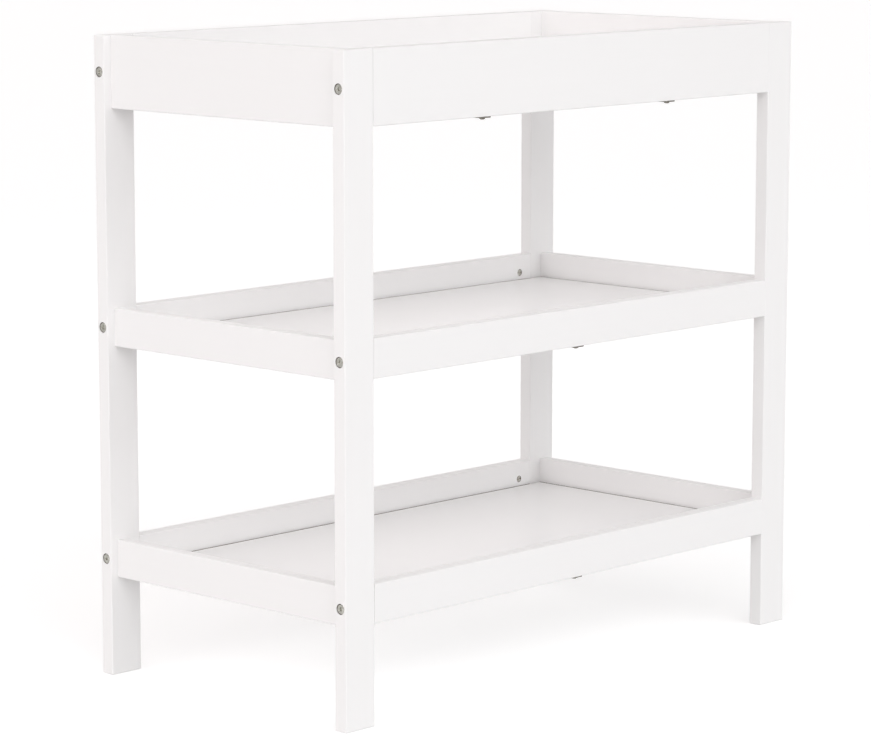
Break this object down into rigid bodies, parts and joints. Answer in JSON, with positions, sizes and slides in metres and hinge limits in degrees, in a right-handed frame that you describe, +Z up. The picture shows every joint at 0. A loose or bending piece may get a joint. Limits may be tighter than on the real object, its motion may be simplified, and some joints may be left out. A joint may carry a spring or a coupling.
{
  "type": "changing table",
  "caption": "Open changing table with a deep-railed top tray over shallow shelf trays between flat posts, in white lacquered wood with hex-socket furniture bolts",
  "frame": {"origin": "centre of the bounding box's bottom, on the floor midway between the four posts", "axes": "+Z up, +X to the table's right seen from the front, +Y from the front to the rear"},
  "size_m": [0.917, 0.482, 0.889],
  "materials": {
    "lacquered_timber": "satin white lacquer",
    "lacquered_board": "satin white lacquer on fibreboard",
    "zinc_steel": "bright zinc plating",
    "beech": "plain fluted dowel stock"
  },
  "bodies": {
    "root": {"post_front_left": "lacquered_timber", "post_front_right": "lacquered_timber", "post_rear_left": "lacquered_timber", "post_rear_right": "lacquered_timber", "tray_front_rail": "lacquered_timber", "tray_rear_rail": "lacquered_timber", "tray_left_rail": "lacquered_timber", "tray_right_rail": "lacquered_timber", "tray_board": "lacquered_board", "tray_bolts": "zinc_steel", "tray_barrel_nuts": "zinc_steel", "tray_rail_dowels": "beech", "tray_end_dowels": "beech", "tray_board_dowels": "beech", "tray_plates": "zinc_steel", "tray_plate_screws": "zinc_steel", "middle_front_rail": "lacquered_timber", "middle_rear_rail": "lacquered_timber", "middle_left_rail": "lacquered_timber", "middle_right_rail": "lacquered_timber", "middle_board": "lacquered_board", "middle_bolts": "zinc_steel", "middle_barrel_nuts": "zinc_steel", "middle_rail_dowels": "beech", "middle_end_dowels": "beech", "middle_board_dowels": "beech", "middle_plates": "zinc_steel", "middle_plate_screws": "zinc_steel", "lower_front_rail": "lacquered_timber", "lower_rear_rail": "lacquered_timber", "lower_left_rail": "lacquered_timber", "lower_right_rail": "lacquered_timber", "lower_board": "lacquered_board", "lower_bolts": "zinc_steel", "lower_barrel_nuts": "zinc_steel", "lower_rail_dowels": "beech", "lower_end_dowels": "beech", "lower_board_dowels": "beech", "lower_plates": "zinc_steel", "lower_plate_screws": "zinc_steel"}
  },
  "joints": []
}
